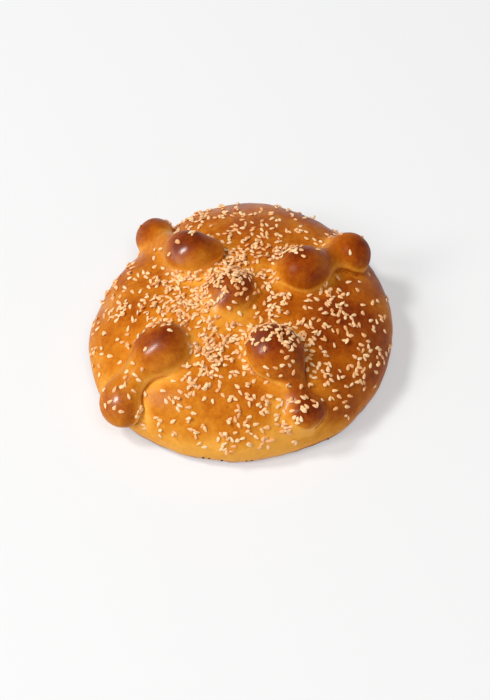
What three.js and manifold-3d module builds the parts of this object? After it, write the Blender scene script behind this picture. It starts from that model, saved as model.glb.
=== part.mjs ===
// Pan de muerto: a round, egg-washed sweet bun with four dough bones laid out from a ball
// of dough on its crown, and sesame seeds over the top. Every piece is a closed solid.
//
// Millimetres, +Z up. The origin is the centre of the flat base that the bun was baked on.
// Azimuth runs anticlockwise from +X as seen from above, and climb goes up the bun's
// flank, from 0 at its widest ring to 90 at its crown. Both are in degrees.
import * as THREE from "three";
import { mergeVertices } from "three/addons/utils/BufferGeometryUtils.js";
import Module from "manifold-3d";

// Driving dimensions

const BUN = {
  radius: 81.8, // of the plan outline, before its swells
  height: 47, // of the crown above the base
  widestHeight: 10.5, // of the widest ring above the base
  baseShare: 0.94, // the base's radius over the widest radius
  fullness: 2.3, // exponent of the profile: 2 is an ellipse, and more is fuller
};

// The dough spread unevenly, so the plan outline swells by these shares of the radius.
const PLAN_SWELLS = [
  { waves: 2, share: 0.034, azimuth: 42 },
  { waves: 3, share: 0.026, azimuth: -34 },
  { waves: 4, share: 0.009, azimuth: 17 },
];

// A bone runs from the knob near the crown, by its neck, to the knob near the rim.
// Lift is how far its middle stands above the bun's own surface: the dough sinks in as it bakes.
const BONES = [
  {
    name: "bone_back_right",
    inner: { azimuth: 25.1, climb: 68.7, lift: 3, radius: 12.8 },
    neck: { azimuth: 30, climb: 52.6, lift: -1.5, radius: 7.8 },
    outer: { azimuth: 30.4, climb: 39.1, lift: 1, radius: 12.7 },
  },
  {
    name: "bone_back_left",
    inner: { azimuth: 137.8, climb: 63.6, lift: 3, radius: 12.6 },
    neck: { azimuth: 134.9, climb: 44.5, lift: -2, radius: 7.6 },
    outer: { azimuth: 131.8, climb: 20.9, lift: 0, radius: 11.5 },
    knuckle: { azimuth: 119.9, climb: 69, lift: 2, radius: 6.2 }, // a lobe beside the inner knob
  },
  {
    name: "bone_front_left",
    inner: { azimuth: 217.5, climb: 55.3, lift: 0, radius: 13.8 },
    neck: { azimuth: 218.5, climb: 35.5, lift: -1.5, radius: 8 },
    outer: { azimuth: 220.5, climb: 14.5, lift: 0.3, radius: 12.3 },
  },
  {
    name: "bone_front_right",
    inner: { azimuth: 293.8, climb: 63.7, lift: -0.3, radius: 15.2 },
    neck: { azimuth: 297.4, climb: 44.8, lift: -2.2, radius: 4.9 },
    outer: { azimuth: 297.5, climb: 26.4, lift: -3, radius: 9.9 },
  },
];

const BALL = { x: -6.6, y: -0.6, z: 46.2, radius: 13.1, flatness: 0.94 };

const KNOB_SPREAD = 0.85; // how far a knob's swelling runs into the neck, as a share of its radius
const KNOB_ROUNDNESS = 3; // exponent of the fall from knob to neck: more is steeper
const PRESS = { depth: 1, reach: 9 }; // the hollow that the bones and ball press in the bun
const BAKED_GAP = 0.3; // between a laid-on piece and the bun under it

const SEED = {
  length: 3.4,
  width: 1.9,
  thickness: 1,
  taper: 0.3, // how much narrower the pointed end is, as a share of the width
  standsProud: 0.15, // of its middle above the crust
  sides: 6,
  rings: 4,
};
const SEED_FIELD = {
  count: 120, // places tried on the bun, spread evenly
  reach: 68, // from the bun's axis
  scatter: 2.5, // how far a seed strays from its even place
  draw: 1102, // start of the random draws
  clearance: 2.6, // from a seed's middle to a laid-on piece
  knobs: { inner: 4, outer: 1, ball: 5 }, // seeds on each
  knobCap: 52, // how far they lie from the top of a knob, in degrees
};

// Facets: how finely the round forms are divided.
const FACETS = {
  bunSides: 72,
  bunFlankRows: 4,
  bunTopRows: 19,
  boneSides: 16,
  boneCapRows: 4,
  boneShaftRows: 9,
  ballSides: 18,
  ballRows: 10,
};

const CROWN_REACH = 1e-6; // nearer the bun's axis than this is the crown itself
const NORMAL_STEP = 0.2; // degrees between the points that a surface normal is taken from
const SPINE_SAMPLES = 36; // points along a bone's middle line that distances are taken from
const WELD = 1e-4; // vertices nearer than this are one

const CRUST = { color: 0xc9772a, roughness: 0.42, metalness: 0 };
const BROWNED = { color: 0xa95a1e, roughness: 0.38, metalness: 0 };

// Helpers

const wasm = await Module();
wasm.setup();

const radians = THREE.MathUtils.degToRad;
const lerp = THREE.MathUtils.lerp;
const GOLDEN_ANGLE = Math.PI * (3 - Math.sqrt(5));
const UP = new THREE.Vector3(0, 0, 1);

THREE.MathUtils.seededRandom(SEED_FIELD.draw);
const draw = () => THREE.MathUtils.seededRandom();

// A closed geometry as a manifold solid.
function solidFrom(geometry) {
  const bare = geometry.clone();
  bare.deleteAttribute("normal");
  bare.deleteAttribute("uv");
  const merged = mergeVertices(bare, WELD);
  return new wasm.Manifold(
    new wasm.Mesh({
      numProp: 3,
      vertProperties: merged.attributes.position.array,
      triVerts: new Uint32Array(merged.index.array),
    }),
  );
}

// A manifold solid as a three.js geometry.
function geometryFrom(solid) {
  const { vertProperties, triVerts } = solid.getMesh();
  const geometry = new THREE.BufferGeometry();
  geometry.setAttribute("position", new THREE.BufferAttribute(vertProperties, 3));
  geometry.setIndex(new THREE.BufferAttribute(triVerts, 1));
  geometry.computeVertexNormals();
  return geometry;
}

// Moves every vertex of a geometry to where the given function says.
function reshape(geometry, placeOf) {
  const position = geometry.attributes.position;
  const point = new THREE.Vector3();
  for (let i = 0; i < position.count; i++) {
    point.fromBufferAttribute(position, i);
    const moved = placeOf(point);
    position.setXYZ(i, moved.x, moved.y, moved.z);
  }
  return geometry;
}

// The bun's own surface

function planRadius(azimuth) {
  let share = 1;
  for (const swell of PLAN_SWELLS) {
    share += swell.share * Math.cos(swell.waves * (azimuth - radians(swell.azimuth)));
  }
  return BUN.radius * share;
}

// The bun's half profile as shares: reach 1 is the widest ring, and height is in millimetres.
function flankPoint(rise) {
  const tuck = Math.sqrt(1 - (1 - rise) ** 2);
  return { reach: lerp(BUN.baseShare, 1, tuck), height: BUN.widestHeight * rise };
}

function topPoint(climb) {
  const power = 2 / BUN.fullness;
  return {
    reach: Math.cos(climb) ** power,
    height: lerp(BUN.widestHeight, BUN.height, Math.sin(climb) ** power),
  };
}

// A point of the bun's top, before anything presses on it.
function topPlace(azimuth, climb) {
  const { reach, height } = topPoint(climb);
  const out = reach * planRadius(azimuth);
  return new THREE.Vector3(out * Math.cos(azimuth), out * Math.sin(azimuth), height);
}

function topNormal(azimuth, climb) {
  const step = radians(NORMAL_STEP);
  const around = topPlace(azimuth + step, climb).sub(topPlace(azimuth - step, climb));
  const upward = topPlace(azimuth, climb + step).sub(topPlace(azimuth, climb - step));
  return around.cross(upward).normalize();
}

// The bones' middle lines

// A place over the bun's top, lifted along the bun's normal there.
function placeOver({ azimuth, climb, lift }) {
  const turn = radians(azimuth);
  const rise = radians(climb);
  const normal = topNormal(turn, rise);
  return { place: topPlace(turn, rise).addScaledVector(normal, lift), normal };
}

// A bone's middle line: a smooth curve through the middles of its knobs and neck.
function spineOf(bone) {
  const inner = placeOver(bone.inner);
  const neck = placeOver(bone.neck);
  const outer = placeOver(bone.outer);
  const between = inner.place.clone().lerp(outer.place, 0.5);
  const bend = neck.place.clone().multiplyScalar(2).sub(between);
  const curve = new THREE.QuadraticBezierCurve3(inner.place, bend, outer.place);
  return { curve, length: curve.getLength(), inner, neck, outer };
}

// The bone's radius at a distance along its middle line: two round knobs and a neck.
function boneRadius(bone, length, along) {
  const inner = bone.inner.radius;
  const neck = bone.neck.radius;
  const outer = bone.outer.radius;
  if (along < 0) return Math.sqrt(Math.max(inner ** 2 - along ** 2, 0));
  if (along > length) return Math.sqrt(Math.max(outer ** 2 - (along - length) ** 2, 0));
  const fade = (distance, radius) =>
    Math.exp(-((distance / (KNOB_SPREAD * radius)) ** KNOB_ROUNDNESS));
  const innerSwelling = (inner - neck) * fade(along, inner);
  const outerSwelling = (outer - neck) * fade(length - along, outer);
  return neck + innerSwelling + outerSwelling;
}

const spines = new Map(BONES.map((bone) => [bone.name, spineOf(bone)]));
const ballCentre = new THREE.Vector3(BALL.x, BALL.y, BALL.z);

// Distance from a point to a bone's skin, and to the ball's.
function distanceToBone(bone, point) {
  const { curve, length } = spines.get(bone.name);
  let nearest = Infinity;
  for (let i = 0; i <= SPINE_SAMPLES; i++) {
    const share = i / SPINE_SAMPLES;
    const gap = point.distanceTo(curve.getPointAt(share));
    nearest = Math.min(nearest, gap - boneRadius(bone, length, share * length));
  }
  if (!bone.knuckle) return nearest;
  return Math.min(nearest, point.distanceTo(placeOver(bone.knuckle).place) - bone.knuckle.radius);
}

function distanceToBall(point) {
  return point.distanceTo(ballCentre) - BALL.radius;
}

function distancesToToppings(point) {
  return [...BONES.map((bone) => distanceToBone(bone, point)), distanceToBall(point)];
}

// How deep the bones and the ball press the bun in at a point of its surface.
function pressDepth(point) {
  let untouched = 1;
  for (const distance of distancesToToppings(point)) {
    const near = Math.exp(-((Math.max(distance, 0) / PRESS.reach) ** 2));
    untouched *= 1 - near;
  }
  return PRESS.depth * (1 - untouched);
}

// The bun: a lathed profile, swollen in plan and pressed in on top

function bunGeometry(grow = 0) {
  const profile = [new THREE.Vector2(0, 0)];
  for (let i = 0; i < FACETS.bunFlankRows; i++) {
    const { reach, height } = flankPoint(i / FACETS.bunFlankRows);
    profile.push(new THREE.Vector2(reach, height));
  }
  for (let i = 0; i < FACETS.bunTopRows; i++) {
    const { reach, height } = topPoint(((i / FACETS.bunTopRows) * Math.PI) / 2);
    profile.push(new THREE.Vector2(reach, height));
  }
  profile.push(new THREE.Vector2(0, BUN.height));

  const lathe = new THREE.LatheGeometry(profile, FACETS.bunSides);
  lathe.rotateX(Math.PI / 2);
  return reshape(lathe, ({ x, y, z }) => {
    const reach = Math.hypot(x, y);
    const azimuth = Math.atan2(y, x);
    const outwards = new THREE.Vector3(Math.cos(azimuth), Math.sin(azimuth), 0);
    const place = outwards.clone().multiplyScalar(reach * planRadius(azimuth)).setZ(z);
    if (z <= BUN.widestHeight) {
      if (reach > 0) place.addScaledVector(outwards, grow);
      return z > 0 ? place : place.setZ(-grow);
    }
    const climb = Math.acos(Math.min(reach, 1) ** (BUN.fullness / 2));
    const normal = reach < CROWN_REACH ? UP : topNormal(azimuth, climb);
    return place.addScaledVector(normal, grow - pressDepth(place));
  });
}

// A bone: its dog-bone profile lathed straight, then bent along its middle line

function boneGeometry(bone) {
  const { curve, length, neck } = spines.get(bone.name);
  const inner = bone.inner.radius;
  const outer = bone.outer.radius;
  const stations = [];
  for (let i = FACETS.boneCapRows; i > 0; i--) {
    stations.push(-inner * Math.sin(((i / FACETS.boneCapRows) * Math.PI) / 2));
  }
  for (let i = 0; i <= FACETS.boneShaftRows; i++) {
    stations.push((i / FACETS.boneShaftRows) * length);
  }
  for (let i = 1; i <= FACETS.boneCapRows; i++) {
    stations.push(length + outer * Math.sin(((i / FACETS.boneCapRows) * Math.PI) / 2));
  }
  const last = stations.length - 1;
  const profile = stations.map((along, i) => {
    const radius = i === 0 || i === last ? 0 : boneRadius(bone, length, along);
    return new THREE.Vector2(radius, along);
  });

  const lathe = new THREE.LatheGeometry(profile, FACETS.boneSides);
  return reshape(lathe, ({ x, y, z }) => {
    const share = THREE.MathUtils.clamp(y / length, 0, 1);
    const overrun = y - share * length;
    const tangent = curve.getTangentAt(share);
    const across = tangent.clone().cross(neck.normal).normalize();
    const upright = across.clone().cross(tangent);
    return curve
      .getPointAt(share)
      .addScaledVector(tangent, overrun)
      .addScaledVector(across, x)
      .addScaledVector(upright, z);
  });
}

function knuckleGeometry({ radius, ...where }) {
  const sphere = new THREE.SphereGeometry(radius, FACETS.ballSides, FACETS.ballRows);
  const { x, y, z } = placeOver(where).place;
  return sphere.translate(x, y, z);
}

function ballGeometry() {
  const sphere = new THREE.SphereGeometry(BALL.radius, FACETS.ballSides, FACETS.ballRows);
  sphere.rotateX(Math.PI / 2);
  sphere.scale(1, 1, BALL.flatness);
  return sphere.translate(BALL.x, BALL.y, BALL.z);
}

// Sesame seeds: flat drops, bedded in the crust they lie on

function seedGeometry(place, normal, turn) {
  const seed = new THREE.SphereGeometry(1, SEED.sides, SEED.rings);
  seed.rotateZ(Math.PI / 2);
  reshape(seed, ({ x, y, z }) => {
    const narrowing = 1 - (SEED.taper * (x + 1)) / 2;
    return new THREE.Vector3(
      (x * SEED.length) / 2,
      (y * narrowing * SEED.width) / 2,
      (z * SEED.thickness) / 2,
    );
  });
  const upright = new THREE.Quaternion().setFromUnitVectors(UP, normal);
  seed.rotateZ(turn).applyQuaternion(upright);
  const middle = place.clone().addScaledVector(normal, SEED.standsProud);
  return seed.translate(middle.x, middle.y, middle.z);
}

// Joins seeds to a solid where rays towards it meet its skin, and leaves out crowded places.
function seeded(solid, rays, keepClear) {
  const skin = new THREE.Mesh(
    geometryFrom(solid),
    new THREE.MeshBasicMaterial({ side: THREE.DoubleSide }),
  );
  const caster = new THREE.Raycaster();
  let result = solid;
  for (const { from, towards } of rays) {
    caster.set(from, towards);
    const [hit] = caster.intersectObject(skin);
    if (!hit || !keepClear(hit.point)) continue;
    const seed = seedGeometry(hit.point, hit.face.normal, draw() * 2 * Math.PI);
    result = result.add(solidFrom(seed));
  }
  return result;
}

// Rays straight down on the bun, spread evenly by a golden-angle spiral with a little scatter.
function raysOnBun() {
  const towards = UP.clone().negate();
  const stray = () => SEED_FIELD.scatter * (2 * draw() - 1);
  const rays = [];
  for (let i = 0; i < SEED_FIELD.count; i++) {
    const out = SEED_FIELD.reach * Math.sqrt((i + 0.5) / SEED_FIELD.count);
    const turn = i * GOLDEN_ANGLE;
    const x = out * Math.cos(turn) + stray();
    const y = out * Math.sin(turn) + stray();
    rays.push({ from: new THREE.Vector3(x, y, 2 * BUN.height), towards });
  }
  return rays;
}

// Rays inwards on the top of a knob, spread the same way about its own outward direction.
function raysOnKnob(centre, outward, radius, count) {
  const upright = new THREE.Quaternion().setFromUnitVectors(UP, outward);
  const rays = [];
  for (let i = 0; i < count; i++) {
    const lean = radians(SEED_FIELD.knobCap) * Math.sqrt((i + 0.5) / count);
    const side = new THREE.Vector3().setFromSphericalCoords(1, lean, i * GOLDEN_ANGLE);
    const direction = new THREE.Vector3(side.x, side.z, side.y).applyQuaternion(upright);
    const from = centre.clone().addScaledVector(direction, 2 * radius);
    rays.push({ from, towards: direction.negate() });
  }
  return rays;
}

// The whole bread

function named(name, solid, finish) {
  const mesh = new THREE.Mesh(geometryFrom(solid), new THREE.MeshStandardMaterial(finish));
  mesh.name = name;
  return mesh;
}

function makeBun() {
  const farFromToppings = (point) =>
    Math.min(...distancesToToppings(point)) > SEED_FIELD.clearance;
  return seeded(solidFrom(bunGeometry()), raysOnBun(), farFromToppings);
}

function makeBone(bone, seat) {
  const { inner, outer } = spines.get(bone.name);
  const rays = [
    ...raysOnKnob(inner.place, inner.normal, bone.inner.radius, SEED_FIELD.knobs.inner),
    ...raysOnKnob(outer.place, outer.normal, bone.outer.radius, SEED_FIELD.knobs.outer),
  ];
  let dough = solidFrom(boneGeometry(bone));
  if (bone.knuckle) dough = dough.add(solidFrom(knuckleGeometry(bone.knuckle)));
  return seeded(dough.subtract(seat), rays, () => true);
}

function makeBall(seat) {
  const rays = raysOnKnob(ballCentre, UP, BALL.radius, SEED_FIELD.knobs.ball);
  return seeded(solidFrom(ballGeometry()).subtract(seat), rays, () => true);
}

const bread = new THREE.Group();
const seat = solidFrom(bunGeometry(BAKED_GAP));
bread.add(named("bun", makeBun(), CRUST));
for (const bone of BONES) bread.add(named(bone.name, makeBone(bone, seat), BROWNED));
bread.add(named("ball", makeBall(seat), BROWNED));

export default bread;
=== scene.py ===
# %% [markdown]
# # Pan de muerto
# A round sweet bun, brushed with egg and baked until its high places brown. Four dough bones
# and a ball of dough are laid on its crown, and sesame seeds are strewn over the top.
# The solids give the sizes and places. This lesson gives the bread its baked skin: the dough is
# written as distance fields, fused as the oven fuses it, browned by rules that also paint some
# shade, and then seeded.

# %% Load the solids as a fixed frame
import math
from itertools import chain

import bpy
import numpy as np
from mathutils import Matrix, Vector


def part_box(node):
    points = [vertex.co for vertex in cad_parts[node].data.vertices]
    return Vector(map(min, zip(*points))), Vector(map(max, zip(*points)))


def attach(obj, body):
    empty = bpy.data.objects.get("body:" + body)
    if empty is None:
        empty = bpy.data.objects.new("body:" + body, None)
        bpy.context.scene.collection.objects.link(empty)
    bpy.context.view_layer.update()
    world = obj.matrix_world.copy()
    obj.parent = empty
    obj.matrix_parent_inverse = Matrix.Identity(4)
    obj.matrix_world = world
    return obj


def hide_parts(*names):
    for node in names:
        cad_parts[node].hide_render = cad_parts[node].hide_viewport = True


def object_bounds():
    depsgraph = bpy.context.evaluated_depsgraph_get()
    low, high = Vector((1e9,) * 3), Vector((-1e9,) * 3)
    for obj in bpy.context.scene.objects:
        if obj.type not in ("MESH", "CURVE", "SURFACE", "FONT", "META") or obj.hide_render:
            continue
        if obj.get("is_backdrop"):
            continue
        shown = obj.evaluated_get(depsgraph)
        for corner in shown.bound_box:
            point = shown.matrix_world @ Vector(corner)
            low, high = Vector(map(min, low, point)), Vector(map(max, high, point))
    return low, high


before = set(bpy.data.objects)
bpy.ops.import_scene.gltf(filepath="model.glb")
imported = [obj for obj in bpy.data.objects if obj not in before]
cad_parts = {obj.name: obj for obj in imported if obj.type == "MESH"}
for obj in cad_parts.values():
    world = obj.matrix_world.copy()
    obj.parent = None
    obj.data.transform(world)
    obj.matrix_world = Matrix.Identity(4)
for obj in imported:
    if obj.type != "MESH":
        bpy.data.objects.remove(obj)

solid_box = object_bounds()
for name in sorted(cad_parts):
    low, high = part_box(name)
    print(name, "is", [round(1000 * side, 1) for side in high - low], "mm")

# %% [markdown]
# ## The camera
# The bread is seen from well above the table, so that the whole crown shows. A long lens from
# a metre away keeps the near and far bones at nearly the same scale, as they are in the picture.
# The camera slides a few millimetres sideways and down to set the bread where it sits in frame.

# %% Camera
MM = 0.001
VIEW_ELEVATION = math.radians(55)
VIEW_DISTANCE = 1.0
VIEW_LENS = 92.57  # in millimetres
SENSOR_SIZE = 36  # in millimetres, along the frame's long side
NEAREST_SEEN = 0.05
SLIDE_RIGHT = 1.0 * MM
SLIDE_DOWN = 3.72 * MM

camera = bpy.data.objects.new("camera", bpy.data.cameras.new("camera"))
camera.data.lens = VIEW_LENS
camera.data.sensor_width = SENSOR_SIZE
camera.data.clip_start = NEAREST_SEEN
towards_viewer = np.array([0, -math.cos(VIEW_ELEVATION), math.sin(VIEW_ELEVATION)])
camera_up = np.array([0, math.sin(VIEW_ELEVATION), math.cos(VIEW_ELEVATION)])
camera.location = VIEW_DISTANCE * towards_viewer + [SLIDE_RIGHT, 0, 0] - SLIDE_DOWN * camera_up
camera.rotation_euler = (math.pi / 2 - VIEW_ELEVATION, 0, 0)
bpy.context.scene.collection.objects.link(camera)
bpy.context.scene.camera = camera
print("camera at", [round(side, 4) for side in camera.location])

# %% [markdown]
# ## The floor
# The bread lies on white paper. Paper that is lit by lamps alone would turn grey away from them
# and take a deep shadow, so it also glows a little, as on a light table. The floor is a stage for
# the picture, and no part of the bread.

# %% Paper floor
FLOOR_SIZE = 8.0
FLOOR_DROP = 0.05 * MM  # keeps the floor just clear of the bread's base
WHITE_PAPER = {
    "Base Color": (0.51, 0.51, 0.51, 1),
    "Roughness": 0.9,
    "Specular IOR Level": 0.1,
    "Emission Color": (1, 1, 1, 1),
    "Emission Strength": 0.35,
}

def new_material(name, finish):
    """A material, and its shader with the plain values of the finish."""
    material = bpy.data.materials.new(name)
    material.use_nodes = True
    shader = material.node_tree.nodes["Principled BSDF"]
    for socket, value in finish.items():
        shader.inputs[socket].default_value = value
    return material, shader

def make_floor():
    half = FLOOR_SIZE / 2
    mesh = bpy.data.meshes.new("floor")
    corners = [(-half, -half, 0), (half, -half, 0), (half, half, 0), (-half, half, 0)]
    mesh.from_pydata(corners, [], [(0, 1, 2, 3)])
    paper, _ = new_material("white_paper", WHITE_PAPER)
    mesh.materials.append(paper)
    floor = bpy.data.objects.new("floor", mesh)
    floor.location.z = -FLOOR_DROP
    bpy.context.scene.collection.objects.link(floor)
    return floor

floor = make_floor()
floor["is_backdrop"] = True
print("floor", FLOOR_SIZE, "m wide")

# %% [markdown]
# ## The light
# Three lights stand round the bread. A small lamp high on the left makes the short shadow on the
# right. A soft box, nearly overhead, lights the front. A tall window on the left is what the egg
# wash mirrors, so the other two are hidden from gloss. One lamp can't do all this: a small one
# gives pin-point highlights, and a large one gives no shadow. A white world would be simplest, but
# the glossy crust would mirror it everywhere and turn milky, so the room is pale low down, where
# it fills the shadows, and dark overhead.

# %% Room and lamps
ROOM_LIGHT = 1.0
ROOM_SHADES = [(0.0, 0.38), (0.25, 0.34), (0.6, 0.18), (1.0, 0.10)]  # sine of height, brightness
LAMPS = {  # azimuth and elevation in degrees, distance, width and height in metres, watts
    "spot_lamp": (178, 57, 3.0, 0.6, 0.6, 46),
    "soft_box": (285, 66, 3.0, 1.6, 1.6, 29),
    "window": (206, 42, 3.0, 0.7, 1.6, 35),
}
MIRRORED_LAMP = "window"

def greys(stops):
    return [(position, (brightness,) * 3) for position, brightness in stops]

def add_ramp(tree, value, stops):
    ramp = tree.nodes.new("ShaderNodeValToRGB")
    elements = ramp.color_ramp.elements
    while len(elements) < len(stops):
        elements.new(0.5)
    for element, (position, colour) in zip(elements, stops):
        element.position = position
        element.color = (*colour, 1)
    tree.links.new(value, ramp.inputs["Fac"])
    return ramp.outputs["Color"]

def make_room():
    world = bpy.data.worlds.new("white_room")
    world.use_nodes = True
    tree = world.node_tree
    direction = tree.nodes.new("ShaderNodeTexCoord")
    height = tree.nodes.new("ShaderNodeSeparateXYZ")
    tree.links.new(direction.outputs["Generated"], height.inputs["Vector"])
    walls = add_ramp(tree, height.outputs["Z"], greys(ROOM_SHADES))
    room = tree.nodes["Background"]
    room.inputs["Strength"].default_value = ROOM_LIGHT
    tree.links.new(walls, room.inputs["Color"])
    bpy.context.scene.world = world

def make_lamp(name, azimuth, elevation, distance, width, height, watts):
    lamp = bpy.data.objects.new(name, bpy.data.lights.new(name, "AREA"))
    lamp.data.shape = "ELLIPSE"
    lamp.data.size = width
    lamp.data.size_y = height
    lamp.data.energy = watts
    flat = distance * math.cos(math.radians(elevation))
    lamp.location = (
        flat * math.cos(math.radians(azimuth)),
        flat * math.sin(math.radians(azimuth)),
        distance * math.sin(math.radians(elevation)),
    )
    lamp.rotation_euler = lamp.location.to_track_quat("Z", "Y").to_euler()
    lamp.visible_glossy = name == MIRRORED_LAMP
    bpy.context.scene.collection.objects.link(lamp)

make_room()
for name, settings in LAMPS.items():
    make_lamp(name, *settings)
bpy.context.scene.view_settings.view_transform = "Standard"
print(len(LAMPS), "lamps, room at", ROOM_LIGHT)

# %% [markdown]
# ## The bun as a distance field
# Dough has no edges to model from, so each piece is written as a function that tells how far
# a point is from its skin: below zero is inside the dough. Fields join, press and crease with
# a line of arithmetic each, which a mesh can't do. Lengths are in millimetres, and the sizes
# are those of the solids. The bun is a full-cheeked dome over a tucked-in flank.

# %% The bun's own form
BUN_RADIUS = 81.8
CROWN_HEIGHT = 47.0
WIDEST_HEIGHT = 10.5
BASE_SHARE = 0.94  # the base's radius, as a share of the widest ring's
FULLNESS = 2.3  # 2 is a plain ellipse, and more has fuller cheeks
PLAN_SWELLS = [(2, 0.034, 42), (3, 0.026, -34), (4, 0.009, 17)]  # waves, share, degrees
DOME_HEIGHT = CROWN_HEIGHT - WIDEST_HEIGHT
TUCK_LIMIT = 0.97  # stops the flank just short of lying flat at the base
LEAST_LEVEL = 0.05  # this and the next keep the dome's formula finite at its middle
LEAST_STEEPNESS = 1e-6

def plan_radius(azimuth):
    share = 1.0
    for waves, swell, phase in PLAN_SWELLS:
        share = share + swell * np.cos(waves * (azimuth - math.radians(phase)))
    return BUN_RADIUS * share

def dome_distance(out, radius, rise):
    reach = out / radius
    level = np.maximum((reach**FULLNESS + rise**FULLNESS) ** (1 / FULLNESS), LEAST_LEVEL)
    outward = reach ** (FULLNESS - 1) / radius
    upward = rise ** (FULLNESS - 1) / DOME_HEIGHT
    steepness = level ** (1 - FULLNESS) * np.hypot(outward, upward)
    return (level - 1) / np.maximum(steepness, LEAST_STEEPNESS)

def flank_distance(out, radius, drop):
    tuck = np.sqrt(1 - drop**2)
    skin = radius * (BASE_SHARE + (1 - BASE_SHARE) * tuck)
    slope = radius * (1 - BASE_SHARE) * drop / (WIDEST_HEIGHT * tuck)
    return (out - skin) / np.sqrt(1 + slope**2)

def bun_distance(points):
    x, y, z = points.T
    out = np.hypot(x, y)
    radius = plan_radius(np.arctan2(y, x))
    dome = dome_distance(out, radius, np.maximum(z - WIDEST_HEIGHT, 0) / DOME_HEIGHT)
    flank = flank_distance(out, radius, np.clip(1 - z / WIDEST_HEIGHT, 0, TUCK_LIMIT))
    return np.where(z > WIDEST_HEIGHT, dome, flank)

crown = np.array([[0, 0, CROWN_HEIGHT]])
print("the crown is", round(float(bun_distance(crown)[0]), 3), "mm from the bun's skin")

# %% [markdown]
# ## Where the bones lie
# A baker rolls each bone with the fingers spread, so the dough gathers in a knob at each end and
# leaves a neck between, no two alike. Points in space would place them, but would float off the
# bun if it changed. So a bone's middle line is given by azimuth and climb on the bun's own dome,
# in degrees, and by how far it is lifted off the dome. The places were measured in the picture.

# %% Middle lines of the bones
BONES = {  # each value is given at the inner knob, the neck and the outer knob
    "bone_back_right": {
        "azimuth": (25.1, 30, 30.4),
        "climb": (68.7, 52.6, 39.1),
        "radius": (12.8, 7.8, 12.7),
        "lift": (3, -1.5, 1),
    },
    "bone_back_left": {
        "azimuth": (137.8, 134.9, 131.8),
        "climb": (63.6, 44.5, 20.9),
        "radius": (12.6, 7.6, 11.5),
        "lift": (3, -2, 0),
    },
    "bone_front_left": {
        "azimuth": (217.5, 218.5, 220.5),
        "climb": (55.3, 35.5, 14.5),
        "radius": (13.8, 8, 12.3),
        "lift": (0, -1.5, 0.3),
    },
    "bone_front_right": {
        "azimuth": (293.8, 297.4, 297.5),
        "climb": (63.7, 44.8, 26.4),
        "radius": (15.2, 4.9, 9.9),
        "lift": (-0.3, -2.2, -3),
    },
}
SLOPE_STEP = 0.2

def slope_of(field, points):
    steps = SLOPE_STEP * np.eye(3)
    rises = [field(points + step) - field(points - step) for step in steps]
    return np.stack(rises, axis=1) / (2 * SLOPE_STEP)

def unit(vectors):
    return vectors / np.linalg.norm(vectors, axis=-1, keepdims=True)

def dome_point(azimuth, climb):
    out = plan_radius(azimuth) * np.cos(climb) ** (2 / FULLNESS)
    height = WIDEST_HEIGHT + DOME_HEIGHT * np.sin(climb) ** (2 / FULLNESS)
    return np.stack([out * np.cos(azimuth), out * np.sin(azimuth), height], axis=-1)

def spine_of(bone):
    """Middles of the inner knob, the neck and the outer knob."""
    skin = dome_point(np.radians(bone["azimuth"]), np.radians(bone["climb"]))
    return skin + np.array(bone["lift"])[:, None] * unit(slope_of(bun_distance, skin))

for name, bone in BONES.items():
    bone["spine"] = spine_of(bone)
    print(name, "runs from", bone["spine"][0].round(1), "to", bone["spine"][-1].round(1))

# %% [markdown]
# ## The bones and the ball as fields
# A bone's field is the distance to its middle line, less a radius that swells towards both ends.
# Two balls and a tube would be simpler, but would leave a step at each end of the neck. The back
# left bone's inner knob has a small lobe at its side, and the ball is a plain, slightly flattened
# round of dough on the crown.

# %% Bones and ball
KNOB_SPREAD = 0.85  # how far a knob's swelling runs into the neck, as a share of its radius
KNOB_ROUNDNESS = 3  # exponent of the fall from knob to neck: more is steeper
SPINE_ROUNDS = 3  # of nearing the closest point of a bone's middle line
KNUCKLE_CENTRE = np.array([-16.5, 28.7, 47])  # the lobe of the back left bone's inner knob
KNUCKLE_RADIUS = 6.2
BALL_CENTRE = np.array([-6.6, -0.6, 46.2])
BALL_RADIUS = 13.1
BALL_FLATNESS = 0.94

def bone_radius(bone, along, length):
    inner, neck, outer = bone["radius"]
    from_inner = along / (KNOB_SPREAD * inner)
    from_outer = (length - along) / (KNOB_SPREAD * outer)
    inner_swelling = (inner - neck) * np.exp(-(from_inner**KNOB_ROUNDNESS))
    outer_swelling = (outer - neck) * np.exp(-(from_outer**KNOB_ROUNDNESS))
    return neck + inner_swelling + outer_swelling

def bone_distance(bone, points):
    """Distance to the skin round the smooth curve through the middles of knobs and neck."""
    start, neck, end = bone["spine"]
    chord = end - start
    bow = 4 * neck - 2 * (start + end)
    share = np.clip((points - start) @ (chord / (chord @ chord)), 0, 1)
    for _ in range(SPINE_ROUNDS):
        middle = start + share[:, None] * chord + (share * (1 - share))[:, None] * bow
        slope = chord + (1 - 2 * share)[:, None] * bow
        step = ((points - middle) * slope).sum(axis=1) / (slope**2).sum(axis=1)
        share = np.clip(share + step, 0, 1)
    middle = start + share[:, None] * chord + (share * (1 - share))[:, None] * bow
    length = np.linalg.norm(neck - start) + np.linalg.norm(end - neck)
    return np.linalg.norm(points - middle, axis=1) - bone_radius(bone, share * length, length)

def knuckle_distance(points):
    return np.linalg.norm(points - KNUCKLE_CENTRE, axis=1) - KNUCKLE_RADIUS

def ball_distance(points):
    stretched = (points - BALL_CENTRE) / [1, 1, BALL_FLATNESS]
    return np.linalg.norm(stretched, axis=1) - BALL_RADIUS

for name, bone in BONES.items():
    print(name, "is", round(float(bone_distance(bone, crown)[0]), 1), "mm from the crown")
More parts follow.
